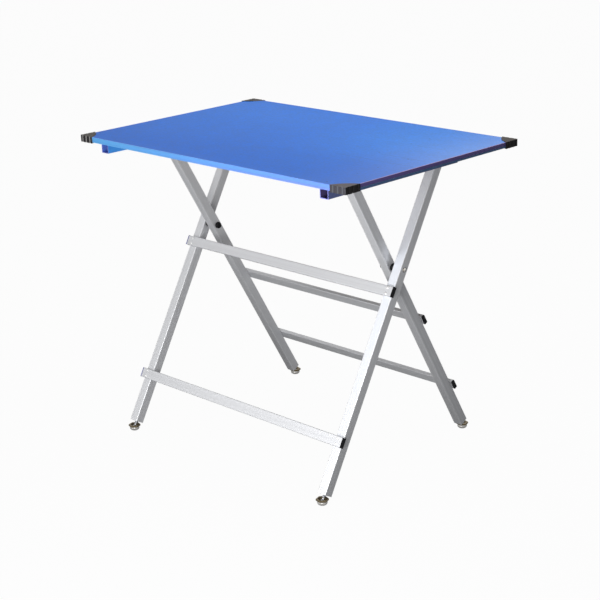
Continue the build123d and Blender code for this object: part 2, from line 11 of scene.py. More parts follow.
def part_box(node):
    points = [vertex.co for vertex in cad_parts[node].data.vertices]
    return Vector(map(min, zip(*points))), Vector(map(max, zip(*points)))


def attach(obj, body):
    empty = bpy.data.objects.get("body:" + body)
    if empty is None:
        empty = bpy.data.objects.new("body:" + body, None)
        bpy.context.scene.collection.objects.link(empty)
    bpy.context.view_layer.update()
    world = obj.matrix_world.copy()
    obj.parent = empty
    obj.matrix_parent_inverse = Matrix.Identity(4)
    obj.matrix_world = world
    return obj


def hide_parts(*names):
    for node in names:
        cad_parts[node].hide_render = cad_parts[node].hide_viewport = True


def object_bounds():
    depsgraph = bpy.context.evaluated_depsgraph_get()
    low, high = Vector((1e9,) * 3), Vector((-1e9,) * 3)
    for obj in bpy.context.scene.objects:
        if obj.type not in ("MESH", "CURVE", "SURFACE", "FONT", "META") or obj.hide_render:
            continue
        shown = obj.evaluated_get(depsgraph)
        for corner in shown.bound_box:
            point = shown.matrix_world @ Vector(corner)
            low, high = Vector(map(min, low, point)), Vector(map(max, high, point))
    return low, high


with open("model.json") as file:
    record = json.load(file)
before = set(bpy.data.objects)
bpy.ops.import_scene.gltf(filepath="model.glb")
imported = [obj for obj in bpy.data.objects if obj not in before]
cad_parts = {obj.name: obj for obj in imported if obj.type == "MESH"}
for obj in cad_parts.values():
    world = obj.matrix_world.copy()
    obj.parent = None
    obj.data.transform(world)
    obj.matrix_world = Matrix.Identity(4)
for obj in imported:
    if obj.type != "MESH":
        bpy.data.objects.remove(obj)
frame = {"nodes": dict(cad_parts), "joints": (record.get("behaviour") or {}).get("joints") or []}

bl_info = {
    "name": "Folding grooming table",
    "version": (1, 0, 0),
    "blender": (4, 5, 0),
    "location": "3D View > Sidebar > Table",
    "description": "Dresses a folding grooming table and sets up a plain studio",
    "category": "Object",
}

CAD_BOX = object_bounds()
JOINTS = {joint["name"]: joint for joint in frame["joints"]}
ENDS = ("front", "rear")
FRAMES = ("outer", "inner")
HANDS = ("left", "right")
X_AXIS = Vector((1, 0, 0))
Y_AXIS = Vector((0, 1, 0))
Z_AXIS = Vector((0, 0, 1))
BLACK = (0.0, 0.0, 0.0)
WHITE = (1.0, 1.0, 1.0)
# Which of three axes an extrusion's lines run along
FIRST, LAST = 0, 2

# Seams along the mat: place along Y, start and end along X, in metres, and strength
SEAMS = (
    (-0.067, 0.200, 0.434, 1.0),
    (-0.010, 0.279, 0.437, 0.9),
    (0.107, 0.291, 0.407, 0.9),
    (-0.118, 0.146, 0.185, 0.6),
)
# Small dark fixings set flush in the mat: place along X and along Y, in metres
SPECKS = (
    (0.380, -0.282),
    (0.380, -0.186),
    (0.380, -0.118),
    (0.380, -0.015),
    (0.436, -0.069),
    (0.280, 0.000),
    (0.280, 0.114),
    (0.280, 0.183),
    (0.280, 0.283),
)
# The cap that is paler than the other three
PALER_CORNER = ("front", "right")

# Noise across and along the lines of a drawn extrusion, in features to the metre
DRAWN_LINES = (900, 2.2)
DRAWN_BANDS = (150, 0.5)
RIM_LINES = (900, 2.0)
TUBE_LINES = (800, 2.0)
# Heights of the finest relief, in metres
DRAWN_RELIEF = 0.000012
ANODISED_RELIEF = 0.00003
PLATED_RELIEF = 0.00004
MOULDED_RELIEF = 0.00008
MAT_RELIEF = 0.00018
COATED_RELIEF = 0.0002

# Width over which one colour of a painted edge turns into the next, in metres
SHARP_EDGE = 0.0002
# Painted highlight along a leg's corners: start, end and softness, as shares of the leg's half width
EDGE_HIGHLIGHT = (0.74, 0.86, 0.04)
EDGE_HIGHLIGHT_STRENGTH = 0.45
# Length up a leg, from the foot, over which painted light brightens it or its painted shade fades out, in
# metres
HIGHLIGHT_REACH = (0.0, 0.62)
SHADE_REACH = (0.05, 0.55)
# How far painted shade darkens the foot end on the front, on the left leg's sides and on the right leg's
# sides
LEG_SHADE = {"front": (0.0, 0.0, 0.3), "rear": (0.38, 0.0, 0.2)}
# How far each pair of rails is darkened all over
RAIL_DARKENING = {"front": 0.0, "rear": 0.14}

# Lamps: name, power setting, width in metres, place, and the point that the lamp faces
LAMPS = (
    ("near_lamp", "near_power", 0.9, (0.8, -1.4, 0.6), (0, 0, 0.4)),
    ("far_lamp", "far_power", 2.0, (-1.6, -3.9, 0.9), (0, 0, 0.4)),
    ("top_lamp", "top_power", 2.0, (0.3, 0.2, 3.0), (0, 0, 0.7)),
)
# Camera's sensor in millimetres, floor from its middle to an edge in metres, and the fill light's colour
SENSOR_WIDTH = 36
FLOOR_REACH = 12
FILL_COLOUR = (0.96, 0.98, 1.0)


def tint(red, green, blue):
    """Turn a colour in screen values from 0 to 255 into the linear values that Blender uses."""
    return tuple(
        value / 255 / 12.92 if value <= 10 else ((value / 255 + 0.055) / 1.055) ** 2.4
        for value in (red, green, blue)
    )


def shaded(base, factor):
    """A colour made darker or paler by a factor."""
    return tuple(min(1.0, part * factor) for part in base)


def colour(name, description, red, green, blue):
    """A colour property with its default in screen values."""
    return bpy.props.FloatVectorProperty(
        name=name,
        description=description,
        size=3,
        subtype="COLOR",
        min=0,
        max=1,
        default=tint(red, green, blue),
    )


def length(name, description, metres):
    """A length property in metres."""
    return bpy.props.FloatProperty(
        name=name,
        description=description,
        default=metres,
        min=0,
        precision=5,
        subtype="DISTANCE",
        unit="LENGTH",
    )


def share(name, description, value):
    """A property that runs from zero to one."""
    return bpy.props.FloatProperty(
        name=name, description=description, default=value, min=0, max=1, subtype="FACTOR"
    )


def turn(name, description, degrees):
    """An angle property with its default in degrees."""
    return bpy.props.FloatProperty(
        name=name, description=description, default=math.radians(degrees), subtype="ANGLE", unit="ROTATION"
    )


def power(name, description, watts):
    """A lamp's power in watts."""
    return bpy.props.FloatProperty(name=name, description=description, default=watts, min=0, unit="POWER")


class TableColours(bpy.types.PropertyGroup):
    """Colours of the table's finishes."""

    deck: colour("Deck", "The mat's blue along the front", 47, 118, 225)
    # Painted light: the mat's blue turns paler towards the back, where more light falls
    deck_back_lit: colour("Deck at the back", "The mat's blue along the back", 65, 139, 248)
    # Painted light: paler, greener blue where the mat is most brightly lit
    deck_lit_patch: colour("Deck, pale patch", "The greener blue where the mat is palest", 74, 151, 254)
    deck_seam: colour("Deck seams", "Fine seams and specks in the mat", 36, 66, 126)
    rim: colour("Rim, left", "Blue anodised rim at its left end", 106, 190, 255)
    # Painted light: the long rims drift from azure at the left end to lilac at the right end, with how the
    # light falls
    rim_far_lit: colour("Rim, right", "Blue anodised rim at its right end", 114, 155, 246)
    # Painted shade: the band below the groove darkens towards the right end
    rim_lower_shade: colour("Rim lower band", "Long rims below the groove", 122, 147, 242)
    # Painted shade: darker top edge of the rear rim
    rim_rear_lip_shade: colour("Rear rim lip", "Top edge of the rear rim", 70, 124, 226)
    # Painted shade: both short rims take the darker colour of the side away from the light
    rim_end_shade: colour("Rim end", "Darker anodised rim on the short edges", 92, 80, 138)
    rim_end_lower_shade: colour("Rim end lower band", "Short rims below the groove", 66, 98, 138)
    # Painted shade: darker top edge of the left rim
    rim_left_lip_shade: colour("Left rim lip", "Top edge of the left rim", 84, 92, 208)
    # Painted highlight: pale lilac top edge of the right rim
    rim_right_lip_highlight: colour("Right rim lip", "Top edge of the right rim", 196, 168, 214)
    tube: colour("Support tube", "Blue anodised tube under the deck", 74, 162, 255)
    # Painted shade: the right tube is greyer and darker, as the side away from the light
    tube_shade: colour("Dark support tube", "Greyer anodised tube on the right", 88, 100, 146)
    tube_edge: colour("Tube end", "Sawn and anodised end of a tube", 138, 141, 222)
    # Painted shade: darker inner walls of the tubes, deepest in the right one
    tube_inside_shade: colour("Left tube inside", "Anodised inner walls of the left tube", 92, 124, 214)
    tube_inside_deep_shade: colour("Right tube inside", "Anodised inner walls of the right tube", 80, 70, 116)
    board: colour("Board", "Sealed plywood under the mat", 150, 118, 82)
    aluminium: colour("Aluminium", "Clear anodised legs and rails", 216, 217, 220)
    aluminium_dark: colour("Aluminium streaks", "Darker drawing lines in the aluminium", 203, 204, 207)
    # Painted light: the right outer leg's front turns paler and bluer towards its top
    aluminium_lit_top: colour("Bright aluminium", "Cleaner, bluer top of the right outer leg", 243, 247, 255)
    # Painted highlight along the legs' corners; the rivets take this pale colour too
    aluminium_highlight: colour("Aluminium edges", "Pale lines along an extrusion's corners", 240, 240, 240)
    steel: colour("Steel", "Zinc plated steel", 188, 190, 194)
    nickel: colour("Nickel", "Bright plated bolts", 212, 210, 206)
    brass: colour("Brass", "Yellower plating round a bolt's head", 140, 118, 74)
    bronze: colour("Bronze", "Passivated flange of a foot's base", 128, 115, 90)
    cup: colour("Cup", "Bright cup of a foot's base", 214, 212, 208)
    black: colour("Black plastic", "Plugs, spacers and caps of the tubes", 20, 20, 23)
    # Painted highlight: lilac grey on the black plugs at the front rails' left ends
    plug_left_highlight: colour("Left plugs", "Lilac grey plugs in the left ends of the front rails", 124, 128, 176)
    cap: colour("Corner cap", "Dark grey corner caps", 52, 46, 41)
    # Painted light and shade: pale flute floors and dark ribs stand in for the flutes' shading
    cap_flute_shading: colour("Corner cap flute", "Pale floor of the flutes on the long sides", 150, 148, 146)
    cap_rib_shading: colour("Corner cap rib", "Dark ribs between the flutes on the long sides", 42, 40, 42)
    # A paler grey for the near cap
    cap_paler: colour("Faded corner cap", "Paler cap at the near corner", 88, 82, 84)
    cap_paler_flute_shading: colour("Faded cap flute", "Flutes of the paler cap", 88, 90, 96)
    cap_paler_rib_shading: colour("Faded cap rib", "Ribs of the paler cap", 68, 66, 72)
    # Painted shade: both short sides nearly black, as the side away from the light
    cap_short_shade: colour("Corner cap short side", "Nearly black ribs on the short sides", 26, 25, 26)
    plate: colour("Plate", "Black powder coat", 34, 34, 37)


class TableSizes(bpy.types.PropertyGroup):
    """Sizes of the fine pieces and marks that the scene adds."""

    stud_radius: length("Stud", "Outer radius of the thread on a foot's stud", 0.004)
    thread_pitch: length("Thread pitch", "Rise of the stud's thread in one turn", 0.00125)
    thread_depth: length("Thread depth", "Depth of the stud's thread", 0.00062)
    ball_radius: length("Ball", "Radius of the ball on the stud's end", 0.0055)
    neck_radius: length("Neck", "Radius of the plain neck above the ball", 0.0028)
    stud_start: length("Thread start", "Where the thread starts above the ball's middle", 0.0086)
    stud_length: length("Stud length", "Top of the stud above the ball's middle", 0.0358)
    stud_chamfer: length("Stud chamfer", "Bevel on the stud's top end", 0.001)
    rim_groove: length("Rim groove", "Height of the groove above the rim's foot", 0.0052)
    flute_depth: length("Flute depth", "Depth of the flutes in the corner caps", 0.0013)
    seam_width: length("Seam width", "Half the width of a seam in the mat", 0.0007)
    speck_radius: length("Speck", "Radius of a small fixing in the mat", 0.0019)
    tube_wall: length("Tube wall", "Thickness of a support tube's wall", 0.0018)
    leg_half: length("Leg half width", "From a leg's middle to its face", 0.0125)
    cup_height: length("Foot cup", "Height of a base's cup, where its flange starts", 0.0108)


class StudioSettings(bpy.types.PropertyGroup):
    """Camera, lamps and backdrop."""

    lens: bpy.props.FloatProperty(
        name="Lens", description="Focal length on a 36 mm sensor", default=88.90, min=1, unit="CAMERA"
    )
    azimuth: turn("Azimuth", "Angle of the camera round the table, from the front towards the right", 44.902)
    elevation: turn("Elevation", "Angle of the camera above the level", 18.170)
    roll: turn("Roll", "Turn of the camera about its line of sight", -1.806)
    distance: length("Distance", "From the camera to the point it looks at", 3.74154)
    target: bpy.props.FloatVectorProperty(
        name="Target",
        description="The point that the camera looks at",
        default=(0.00610, 0, 0.35804),
        subtype="TRANSLATION",
        unit="LENGTH",
    )
    near_power: power("Near lamp", "Power of the lamp close in front, on the right", 21)
    far_power: power("Far lamp", "Power of the lamp far in front, on the left", 35)
    top_power: power("Top lamp", "Power of the lamp overhead", 43)
    fill: share("Fill", "Strength of the light from all round", 0.03)
    backdrop: share("Backdrop", "Brightness of the background", 1.0)
    floor_glow: share("Floor glow", "How far the floor hides its shading from the camera", 0.97)
    floor_sheen: share("Floor sheen", "How far the floor hides its shading from reflections", 0.25)
    floor: colour("Floor", "Pale floor", 150, 151, 153)


# Shader maths


class Wire:
    """A value in a material's node tree. Sums and comparisons on it add Math nodes."""

    def __init__(self, finish, socket):
        self.finish = finish
        self.socket = socket

    def __add__(self, other):
        return self.finish.math("ADD", self, other)

    __radd__ = __add__

    def __sub__(self, other):
        return self.finish.math("SUBTRACT", self, other)

    def __rsub__(self, other):
        return self.finish.math("SUBTRACT", other, self)

    def __mul__(self, other):
        return self.finish.math("MULTIPLY", self, other)

    __rmul__ = __mul__

    def __lt__(self, other):
        return self.finish.math("LESS_THAN", self, other)

    def __gt__(self, other):
        return self.finish.math("GREATER_THAN", self, other)

    def __abs__(self):
        return self.finish.math("ABSOLUTE", self)


class Finish:
    """One material: its node tree, its surface shader and the nodes that vary them."""

    def __init__(self, name, metallic=0.0, roughness=0.5, specular=0.5):
        self.material = bpy.data.materials.new(name)
        self.material.use_nodes = True
        self.tree = self.material.node_tree
        self.surface = self.tree.nodes["Principled BSDF"]
        self.surface.inputs["Metallic"].default_value = metallic
        self.surface.inputs["Roughness"].default_value = roughness
        self.surface.inputs["Specular IOR Level"].default_value = specular
        self.place = self.node("ShaderNodeTexCoord", output="Object")

    def node(self, kind, settings=None, inputs=None, output=0):
        """Add a node: its settings are set first, then the values or links of its sockets."""
        made = self.tree.nodes.new(kind)
        for name, value in (settings or {}).items():
            setattr(made, name, value)
        for name, value in (inputs or {}).items():
            self.join(value, made.inputs[name])
        return Wire(self, made.outputs[output])

    def join(self, value, socket):
        """Link a wire to a socket, or set a plain value on it."""
        if isinstance(value, Wire):
            self.tree.links.new(value.socket, socket)
        elif socket.type == "RGBA" and len(value) == 3:
            socket.default_value = (*value, 1)
        else:
            socket.default_value = value

    def math(self, operation, first, second=0.0):
        """A Math node on two values."""
        return self.node("ShaderNodeMath", {"operation": operation}, {0: first, 1: second})

    def mix(self, factor, first, second):
        """A colour between two colours."""
        return self.node("ShaderNodeMix", {"data_type": "RGBA"}, {0: factor, 6: first, 7: second}, 2)

    def along(self, direction, scale=1.0):
        """How far a point lies along a direction, in metres times a scale."""
        inputs = {0: self.place, 1: tuple(Vector(direction) * scale)}
        return self.node("ShaderNodeVectorMath", {"operation": "DOT_PRODUCT"}, inputs, "Value")

    def facing(self, direction):
        """How far the surface faces a direction of the object, from minus one to one."""
        inputs = {0: self.node("ShaderNodeTexCoord", output="Normal"), 1: tuple(direction)}
        return self.node("ShaderNodeVectorMath", {"operation": "DOT_PRODUCT"}, inputs, "Value")

    def near(self, point, radius, softness):
        """One within a radius of a point, and zero outside it."""
        inputs = {0: self.place, 1: point}
        distance = self.node("ShaderNodeVectorMath", {"operation": "DISTANCE"}, inputs, "Value")
        return self.level(distance, radius, radius + softness, 1.0, 0.0)

    def stretched(self, axes, scales):
        """The point's place along three directions, each with its own scale."""
        parts = [self.along(axis, scale) for axis, scale in zip(axes, scales)]
        return self.node("ShaderNodeCombineXYZ", None, {"X": parts[0], "Y": parts[1], "Z": parts[2]})

    def noise(self, scale, detail=2.0, roughness=0.5, place=None):
        """Noise from zero to one, with its scale in features to the metre."""
        inputs = {"Vector": place or self.place, "Scale": scale, "Detail": detail, "Roughness": roughness}
        return self.node("ShaderNodeTexNoise", None, inputs, "Fac")

    def drawn(self, axes, run, across, along):
        """Noise drawn out into lines along one of three axes, with its scales across and along them."""
        scales = [along if place == run else across for place in range(3)]
        return self.noise(1.0, place=self.stretched(axes, scales))

    def level(self, value, low, high, new_low=0.0, new_high=1.0):
        """A value moved from one range to another, and kept inside it."""
        inputs = {0: value, 1: low, 2: high, 3: new_low, 4: new_high}
        return self.node("ShaderNodeMapRange", {"clamp": True}, inputs)

    def band(self, value, low, high, softness):
        """One where a value lies between two others, and zero beyond them."""
        rise = self.level(value, low, low + softness)
        return rise * self.level(value, high - softness, high, 1.0, 0.0)

    def light_path(self, kind):
        """One where the light ray is of a kind, and zero elsewhere."""
        return self.node("ShaderNodeLightPath", output=kind)

    def paint(self, value):
        """Set the base colour."""
        self.join(value, self.surface.inputs["Base Color"])

    def polish(self, value):
        """Set the roughness."""
        self.join(value, self.surface.inputs["Roughness"])

    def gloss(self, weight, roughness):
        """Add a clear coat: a weight that may vary, and an even roughness."""
        self.join(weight, self.surface.inputs["Coat Weight"])
        self.surface.inputs["Coat Roughness"].default_value = roughness

    def emboss(self, height, distance, strength=1.0):
        """Raise the surface by a height that runs from zero to one."""
        inputs = {"Height": height, "Distance": distance, "Strength": strength}
        self.join(self.node("ShaderNodeBump", None, inputs, "Normal"), self.surface.inputs["Normal"])


# Finishes shared by several pieces


def leg_direction(end):
    """Unit vector up the legs that stand on the front or the rear feet."""
    return -Vector(JOINTS[f"level_{end}_left"]["axis"]).normalized()


def frame_axes(end):
    """Across, through and up a leg frame, as three unit vectors."""
    up = leg_direction(end)
    return X_AXIS, up.cross(X_AXIS), up


def leg_middle(name):
    """How far a leg's middle lies from the table's centre line."""
    low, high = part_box(name)
    return abs(low.x + high.x) / 2


def dress(material, *names):
    """Give CAD nodes one material."""
    for name in names:
        mesh = frame["nodes"][name].data
        mesh.materials.clear()
        mesh.materials.append(material)


def drawn_aluminium(name, end, run):
    """Clear anodised extrusion with fine drawing lines along one axis of its leg frame."""
    colours = bpy.context.scene.table_colours
    axes = frame_axes(end)
    finish = Finish(name, metallic=0.4, roughness=0.42)
    lines = finish.drawn(axes, run, *DRAWN_LINES)
    bands = finish.drawn(axes, run, *DRAWN_BANDS)
    clouds = finish.noise(9.0, 3.0, 0.5)
    streak = finish.level(lines * 0.6 + bands * 0.4, 0.3, 0.6)
    finish.polish(0.3 + 0.06 * clouds + 0.04 * lines)
    finish.emboss(lines * 0.7 + bands * 0.3, DRAWN_RELIEF, 0.3)
    return finish, finish.mix(streak, colours.aluminium_dark, colours.aluminium)


def moulded_plastic(name, base, worn, grain=2600.0):
    """Moulded plastic with a fine grain and paler rubbed spots."""
    finish = Finish(name, roughness=0.5, specular=0.12)
    patches = finish.noise(60.0, 4.0, 0.6)
    finish.polish(0.42 + 0.2 * patches)
    finish.emboss(finish.noise(grain, 2.0, 0.6), MOULDED_RELIEF, 0.5)
    return finish, finish.mix(finish.level(patches, 0.5, 0.75, 0.0, 0.6), base, worn)


def plated_metal(name, base, roughness=0.3, dull=0.75, metallic=0.9):
    """Plated metal with faint clouding and fine pits."""
    finish = Finish(name, metallic=metallic, roughness=roughness)
    clouds = finish.noise(160.0, 4.0, 0.6)
    finish.polish(roughness - 0.06 + 0.16 * clouds)
    finish.emboss(finish.noise(2200.0), PLATED_RELIEF, 0.4)
    return finish, finish.mix(finish.level(clouds, 0.3, 0.75), shaded(base, dull), base)


class TABLE_OT_deck_mat(bpy.types.Operator):
    """Blue mat with faint mottling, fine seams, small fixings, painted light that pales it towards the back
    and in a patch towards the right, and a sheen towards its right end
    """

    bl_idname = "table.deck_mat"
    bl_label = "Deck mat"

    mottle_depth = 0.22
    seam_strength = 0.5
    speck_strength = 0.62
    sheen_weight = 0.42
    sheen_roughness = 0.18
    seam_fade = 0.02
    speck_softness = 0.0009

    def execute(self, context):
        """Give the mat its finish."""
        colours = context.scene.table_colours
        sizes = context.scene.table_sizes
        finish = Finish("deck_mat_blue", specular=0.12)
        along, across = finish.along(X_AXIS), finish.along(Y_AXIS)
        drift = finish.noise(4.0, 3.0, 0.55)
        clouds = finish.noise(26.0, 3.0, 0.6)
        mottle = finish.noise(170.0, 3.0, 0.65)
        pebble = finish.noise(1300.0, 2.0, 0.55)
        # Painted light: the mat turns paler from the front towards the back
        back = finish.level(across + 0.16 * drift - 0.08, -0.25, 0.18)
        ground = finish.mix(back, colours.deck, colours.deck_back_lit)
        # Painted light: a paler, greener patch towards the right and the middle of the mat
        patch = finish.level(along + 0.1 * drift, 0.06, 0.3) * finish.level(across, -0.12, 0.12)
        ground = finish.mix(patch, ground, colours.deck_lit_patch)
        shade = finish.level(clouds * 0.3 + mottle * 0.7, 0.36, 0.64)
        ground = finish.mix(self.mottle_depth - self.mottle_depth * shade, ground, BLACK)
        seams = self.seams(finish, sizes, along, across) * self.seam_strength
        specks = self.specks(finish, sizes) * self.speck_strength
        finish.paint(finish.mix(seams + specks, ground, colours.deck_seam))
        finish.polish(0.44 + 0.1 * mottle + 0.06 * clouds)
        sheen = finish.level(along + 0.04 * clouds, 0.2, 0.48)
        front = finish.level(across, -0.24, 0.04, 0.4, 1.0)
        finish.gloss(sheen * sheen * front * self.sheen_weight, self.sheen_roughness)
        finish.emboss(pebble * 0.55 + mottle * 0.45, MAT_RELIEF, 0.5)
        dress(finish.material, "deck_mat")
        return {"FINISHED"}

    def seams(self, finish, sizes, along, across):
        """A mask of the fine seams that run along the mat."""
        wander = across + 0.003 * finish.noise(6.0, 2.0) - 0.0015
        total = 0.0
        for place, start, end, strength in SEAMS:
            gap = abs(wander - place)
            line = finish.level(gap, sizes.seam_width * 0.4, sizes.seam_width * 1.6, strength, 0.0)
            total = line * finish.band(along, start, end, self.seam_fade) + total
        return total

    def specks(self, finish, sizes):
        """A mask of the small fixings set flush in the mat."""
        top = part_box("deck_mat")[1].z
        total = 0.0
        for x, y in SPECKS:
            total = finish.near((x, y, top), sizes.speck_radius, self.speck_softness) + total
        return finish.level(total, 0.0, 1.0)


class TABLE_OT_deck_board(bpy.types.Operator):
    """Sealed plywood board under the mat"""

    bl_idname = "table.deck_board"
    bl_label = "Deck board"

    def execute(self, context):
        """Give the board its grain."""
        board = context.scene.table_colours.board
        axes = (X_AXIS, Y_AXIS, Z_AXIS)
        finish = Finish("board_plywood", roughness=0.55)
        grain = finish.noise(1.0, 5.0, 0.65, finish.stretched(axes, (5, 130, 700)))
        rings = finish.noise(1.0, 2.0, 0.5, finish.stretched(axes, (1.6, 22, 22)))
        figure = finish.level(grain * 0.6 + rings * 0.4, 0.36, 0.66)
        finish.paint(finish.mix(figure, shaded(board, 0.55), board))
        finish.polish(0.5 + 0.15 * grain)
        finish.emboss(grain, COATED_RELIEF, 0.6)
        dress(finish.material, "deck_board")
        return {"FINISHED"}


class TABLE_OT_rim(bpy.types.Operator):
    """Anodised rim with drawing lines, painted light that drifts from azure at the left to lilac at the
    right, painted shade on the short rims and below its groove towards the right, and painted light and shade
    on its lip round the mat
    """

    bl_idname = "table.rim"
    bl_label = "Rim"

    def execute(self, context):
        """Give the four rims their finishes."""
        colours = context.scene.table_colours
        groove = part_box("rim_front")[0].z + context.scene.table_sizes.rim_groove
        length_half = CAD_BOX[1].x
        rims = (
            # Painted light: each long rim's colour drifts from its left end's to its right end's
            ("front", X_AXIS, colours.rim, colours.rim_far_lit, colours.rim_lower_shade, colours.rim_far_lit),
            ("rear", X_AXIS, colours.rim, colours.rim_far_lit, colours.rim_lower_shade, colours.rim_rear_lip_shade),
            # Painted shade: the short rims take the darker colours
            ("left", Y_AXIS, colours.rim_end_shade, colours.rim_end_shade, colours.rim_end_lower_shade, colours.rim_left_lip_shade),
            ("right", Y_AXIS, colours.rim_end_shade, colours.rim_end_shade, colours.rim_end_lower_shade, colours.rim_right_lip_highlight),
        )
        for side, run, left, right, lower, lip in rims:
            finish = Finish(f"rim_{side}_anodised", roughness=0.4, specular=0.25)
            axes = (run, Z_AXIS.cross(run), Z_AXIS)
            lines = finish.drawn(axes, FIRST, *RIM_LINES)
            clouds = finish.noise(14.0, 3.0, 0.5)
            # Painted light: the colour drifts from the left end's to the right end's along the rim
            span = finish.level(finish.along(X_AXIS), -length_half, length_half)
            ground = finish.mix(span, left, right)
            # Painted shade on the band below the groove, growing towards the right end
            below = (finish.along(Z_AXIS) < groove) * finish.level(span, 0.3, 1.0)
            ground = finish.mix(below, ground, lower)
            # Painted light and shade on each rim's top lip
            ground = finish.mix(finish.facing(Z_AXIS) > 0.8, ground, lip)
            worn = finish.level(lines * 0.7 + clouds * 0.3, 0.35, 0.62, 0.12, 0.0)
            finish.paint(finish.mix(worn, ground, BLACK))
            finish.polish(0.34 + 0.1 * clouds + 0.05 * lines)
            finish.emboss(lines, ANODISED_RELIEF, 0.4)
            dress(finish.material, f"rim_{side}")
        return {"FINISHED"}


class TABLE_OT_support_tubes(bpy.types.Operator):
    """Anodised square tubes under the deck, with sawn ends, the right tube and the inner walls painted in
    shade
    """

    bl_idname = "table.support_tubes"
    bl_label = "Support tubes"

    def execute(self, context):
        """Give both tubes their finish."""
        colours = context.scene.table_colours
        wall = context.scene.table_sizes.tube_wall
        tubes = (
            ("left", colours.tube, colours.tube_inside_shade),
            # Painted shade: the right tube takes the greyer, darker colour
            ("right", colours.tube_shade, colours.tube_inside_deep_shade),
        )
        for hand, blue, hollow_shade in tubes:
            low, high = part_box(f"support_tube_{hand}")
            finish = Finish(f"support_tube_{hand}", roughness=0.42, specular=0.3)
            lines = finish.drawn((Y_AXIS, X_AXIS, Z_AXIS), FIRST, *TUBE_LINES)
            ground = finish.mix(finish.level(lines, 0.34, 0.66), shaded(blue, 0.9), blue)
            inside = 1.0
            for axis, start, end in ((X_AXIS, low.x, high.x), (Z_AXIS, low.z, high.z)):
                reach = (start + wall / 2, end - wall / 2)
                inside = finish.band(finish.along(axis), *reach, SHARP_EDGE) * inside
            # Painted shade on the inner walls
            ground = finish.mix(inside, ground, hollow_shade)
            ground = finish.mix(abs(finish.facing(Y_AXIS)) > 0.7, ground, colours.tube_edge)
            finish.paint(ground)
            finish.polish(0.34 + 0.1 * finish.noise(22.0, 3.0))
            finish.emboss(lines, ANODISED_RELIEF, 0.4)
            dress(finish.material, f"support_tube_{hand}")
        return {"FINISHED"}


class TABLE_OT_corner_caps(bpy.types.Operator):
    """Moulded corner caps with painted light on the flutes, painted shade on the ribs between them and on the
    short sides
    """

    bl_idname = "table.corner_caps"
    bl_label = "Corner caps"

    def execute(self, context):
        """Give the four caps their finish."""
        colours = context.scene.table_colours
        depth = context.scene.table_sizes.flute_depth
        for end in ENDS:
            for hand in HANDS:
                name = f"corner_cap_{end}_{hand}"
                low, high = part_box(name)
                paler_cap = (end, hand) == PALER_CORNER
                base = colours.cap_paler if paler_cap else colours.cap
                rib = colours.cap_paler_rib_shading if paler_cap else colours.cap_rib_shading
                floor = colours.cap_paler_flute_shading if paler_cap else colours.cap_flute_shading
                finish, ground = moulded_plastic(f"{name}_plastic", base, shaded(base, 1.25), 2200.0)
                upright = finish.level(abs(finish.facing(Z_AXIS)), 0.4, 0.7, 1.0, 0.0)
                inset_x = max(-low.x, high.x) - abs(finish.along(X_AXIS))
                inset_y = max(-low.y, high.y) - abs(finish.along(Y_AXIS))
                long_face = inset_y < inset_x
                flute = finish.level(finish.math("MINIMUM", inset_x, inset_y), depth * 0.1, depth * 0.7)
                # Painted light and shade: pale flute floors and dark ribs on the long sides
                pale = finish.mix(flute, rib, floor)
                # Painted shade on the short sides, deeper in their flutes
                dark = finish.mix(flute, colours.cap_short_shade, shaded(colours.cap_short_shade, 0.5))
                finish.paint(finish.mix(upright, ground, finish.mix(long_face, dark, pale)))
                dress(finish.material, name)
        return {"FINISHED"}


class TABLE_OT_legs(bpy.types.Operator):
    """Square legs of clear anodised aluminium, with a painted highlight along their corners, painted light
    towards the top of the right outer leg's front, and painted shade towards the feet
    """

    bl_idname = "table.legs"
    bl_label = "Legs"

    def execute(self, context):
        """Give the four legs their finish."""
        colours = context.scene.table_colours
        half = context.scene.table_sizes.leg_half
        line_start, line_end, line_softness = (half * part for part in EDGE_HIGHLIGHT)
        for end, kind in zip(ENDS, FRAMES):
            front, left, right = LEG_SHADE[end]
            finish, ground = drawn_aluminium(f"{kind}_leg_aluminium", end, LAST)
            across, through, up = frame_axes(end)
            foot = Vector(JOINTS[f"swivel_{end}_left"]["pos_m"])
            place = finish.along(across)
            offset = abs(place) - leg_middle(f"{kind}_leg_left")
            depth = finish.along(through) - through.dot(foot)
            height = finish.along(up) - up.dot(foot)
            # Painted highlight along the leg's corners
            edge_highlight = finish.band(abs(offset), line_start, line_end, line_softness)
            edge_highlight = edge_highlight + finish.band(abs(depth), line_start, line_end, line_softness)
            on_right = place > 0.0
            on_side = abs(finish.facing(across)) > 0.5
            # Painted light: the right outer leg's front turns paler towards its top
            if end == "front":
                bright = finish.level(height, *HIGHLIGHT_REACH) * (on_right - on_right * on_side)
                ground = finish.mix(bright, ground, colours.aluminium_lit_top)
            ground = finish.mix(EDGE_HIGHLIGHT_STRENGTH * edge_highlight, ground, colours.aluminium_highlight)
            # Painted shade: the legs darken towards their feet
            shade_depth = front - front * on_side + on_side * (left + (right - left) * on_right)
            foot_shade = finish.level(height + 0.1 * finish.noise(12.0, 3.0), *SHADE_REACH, 1.0, 0.0)
            finish.paint(finish.mix(foot_shade * shade_depth, ground, BLACK))
            dress(finish.material, *(f"{kind}_leg_{hand}" for hand in HANDS))
        return {"FINISHED"}


class TABLE_OT_rails(bpy.types.Operator):
    """Flat cross rails of clear anodised aluminium, the rear pair darker all over"""

    bl_idname = "table.rails"
    bl_label = "Cross rails"

    def execute(self, context):
        """Give the four rails their finish."""
        for end in ENDS:
            finish, ground = drawn_aluminium(f"{end}_rail_aluminium", end, FIRST)
            # The rear rails are darker all over
            finish.paint(finish.mix(RAIL_DARKENING[end], ground, BLACK))
            dress(finish.material, f"{end}_rail_upper", f"{end}_rail_lower")
        return {"FINISHED"}


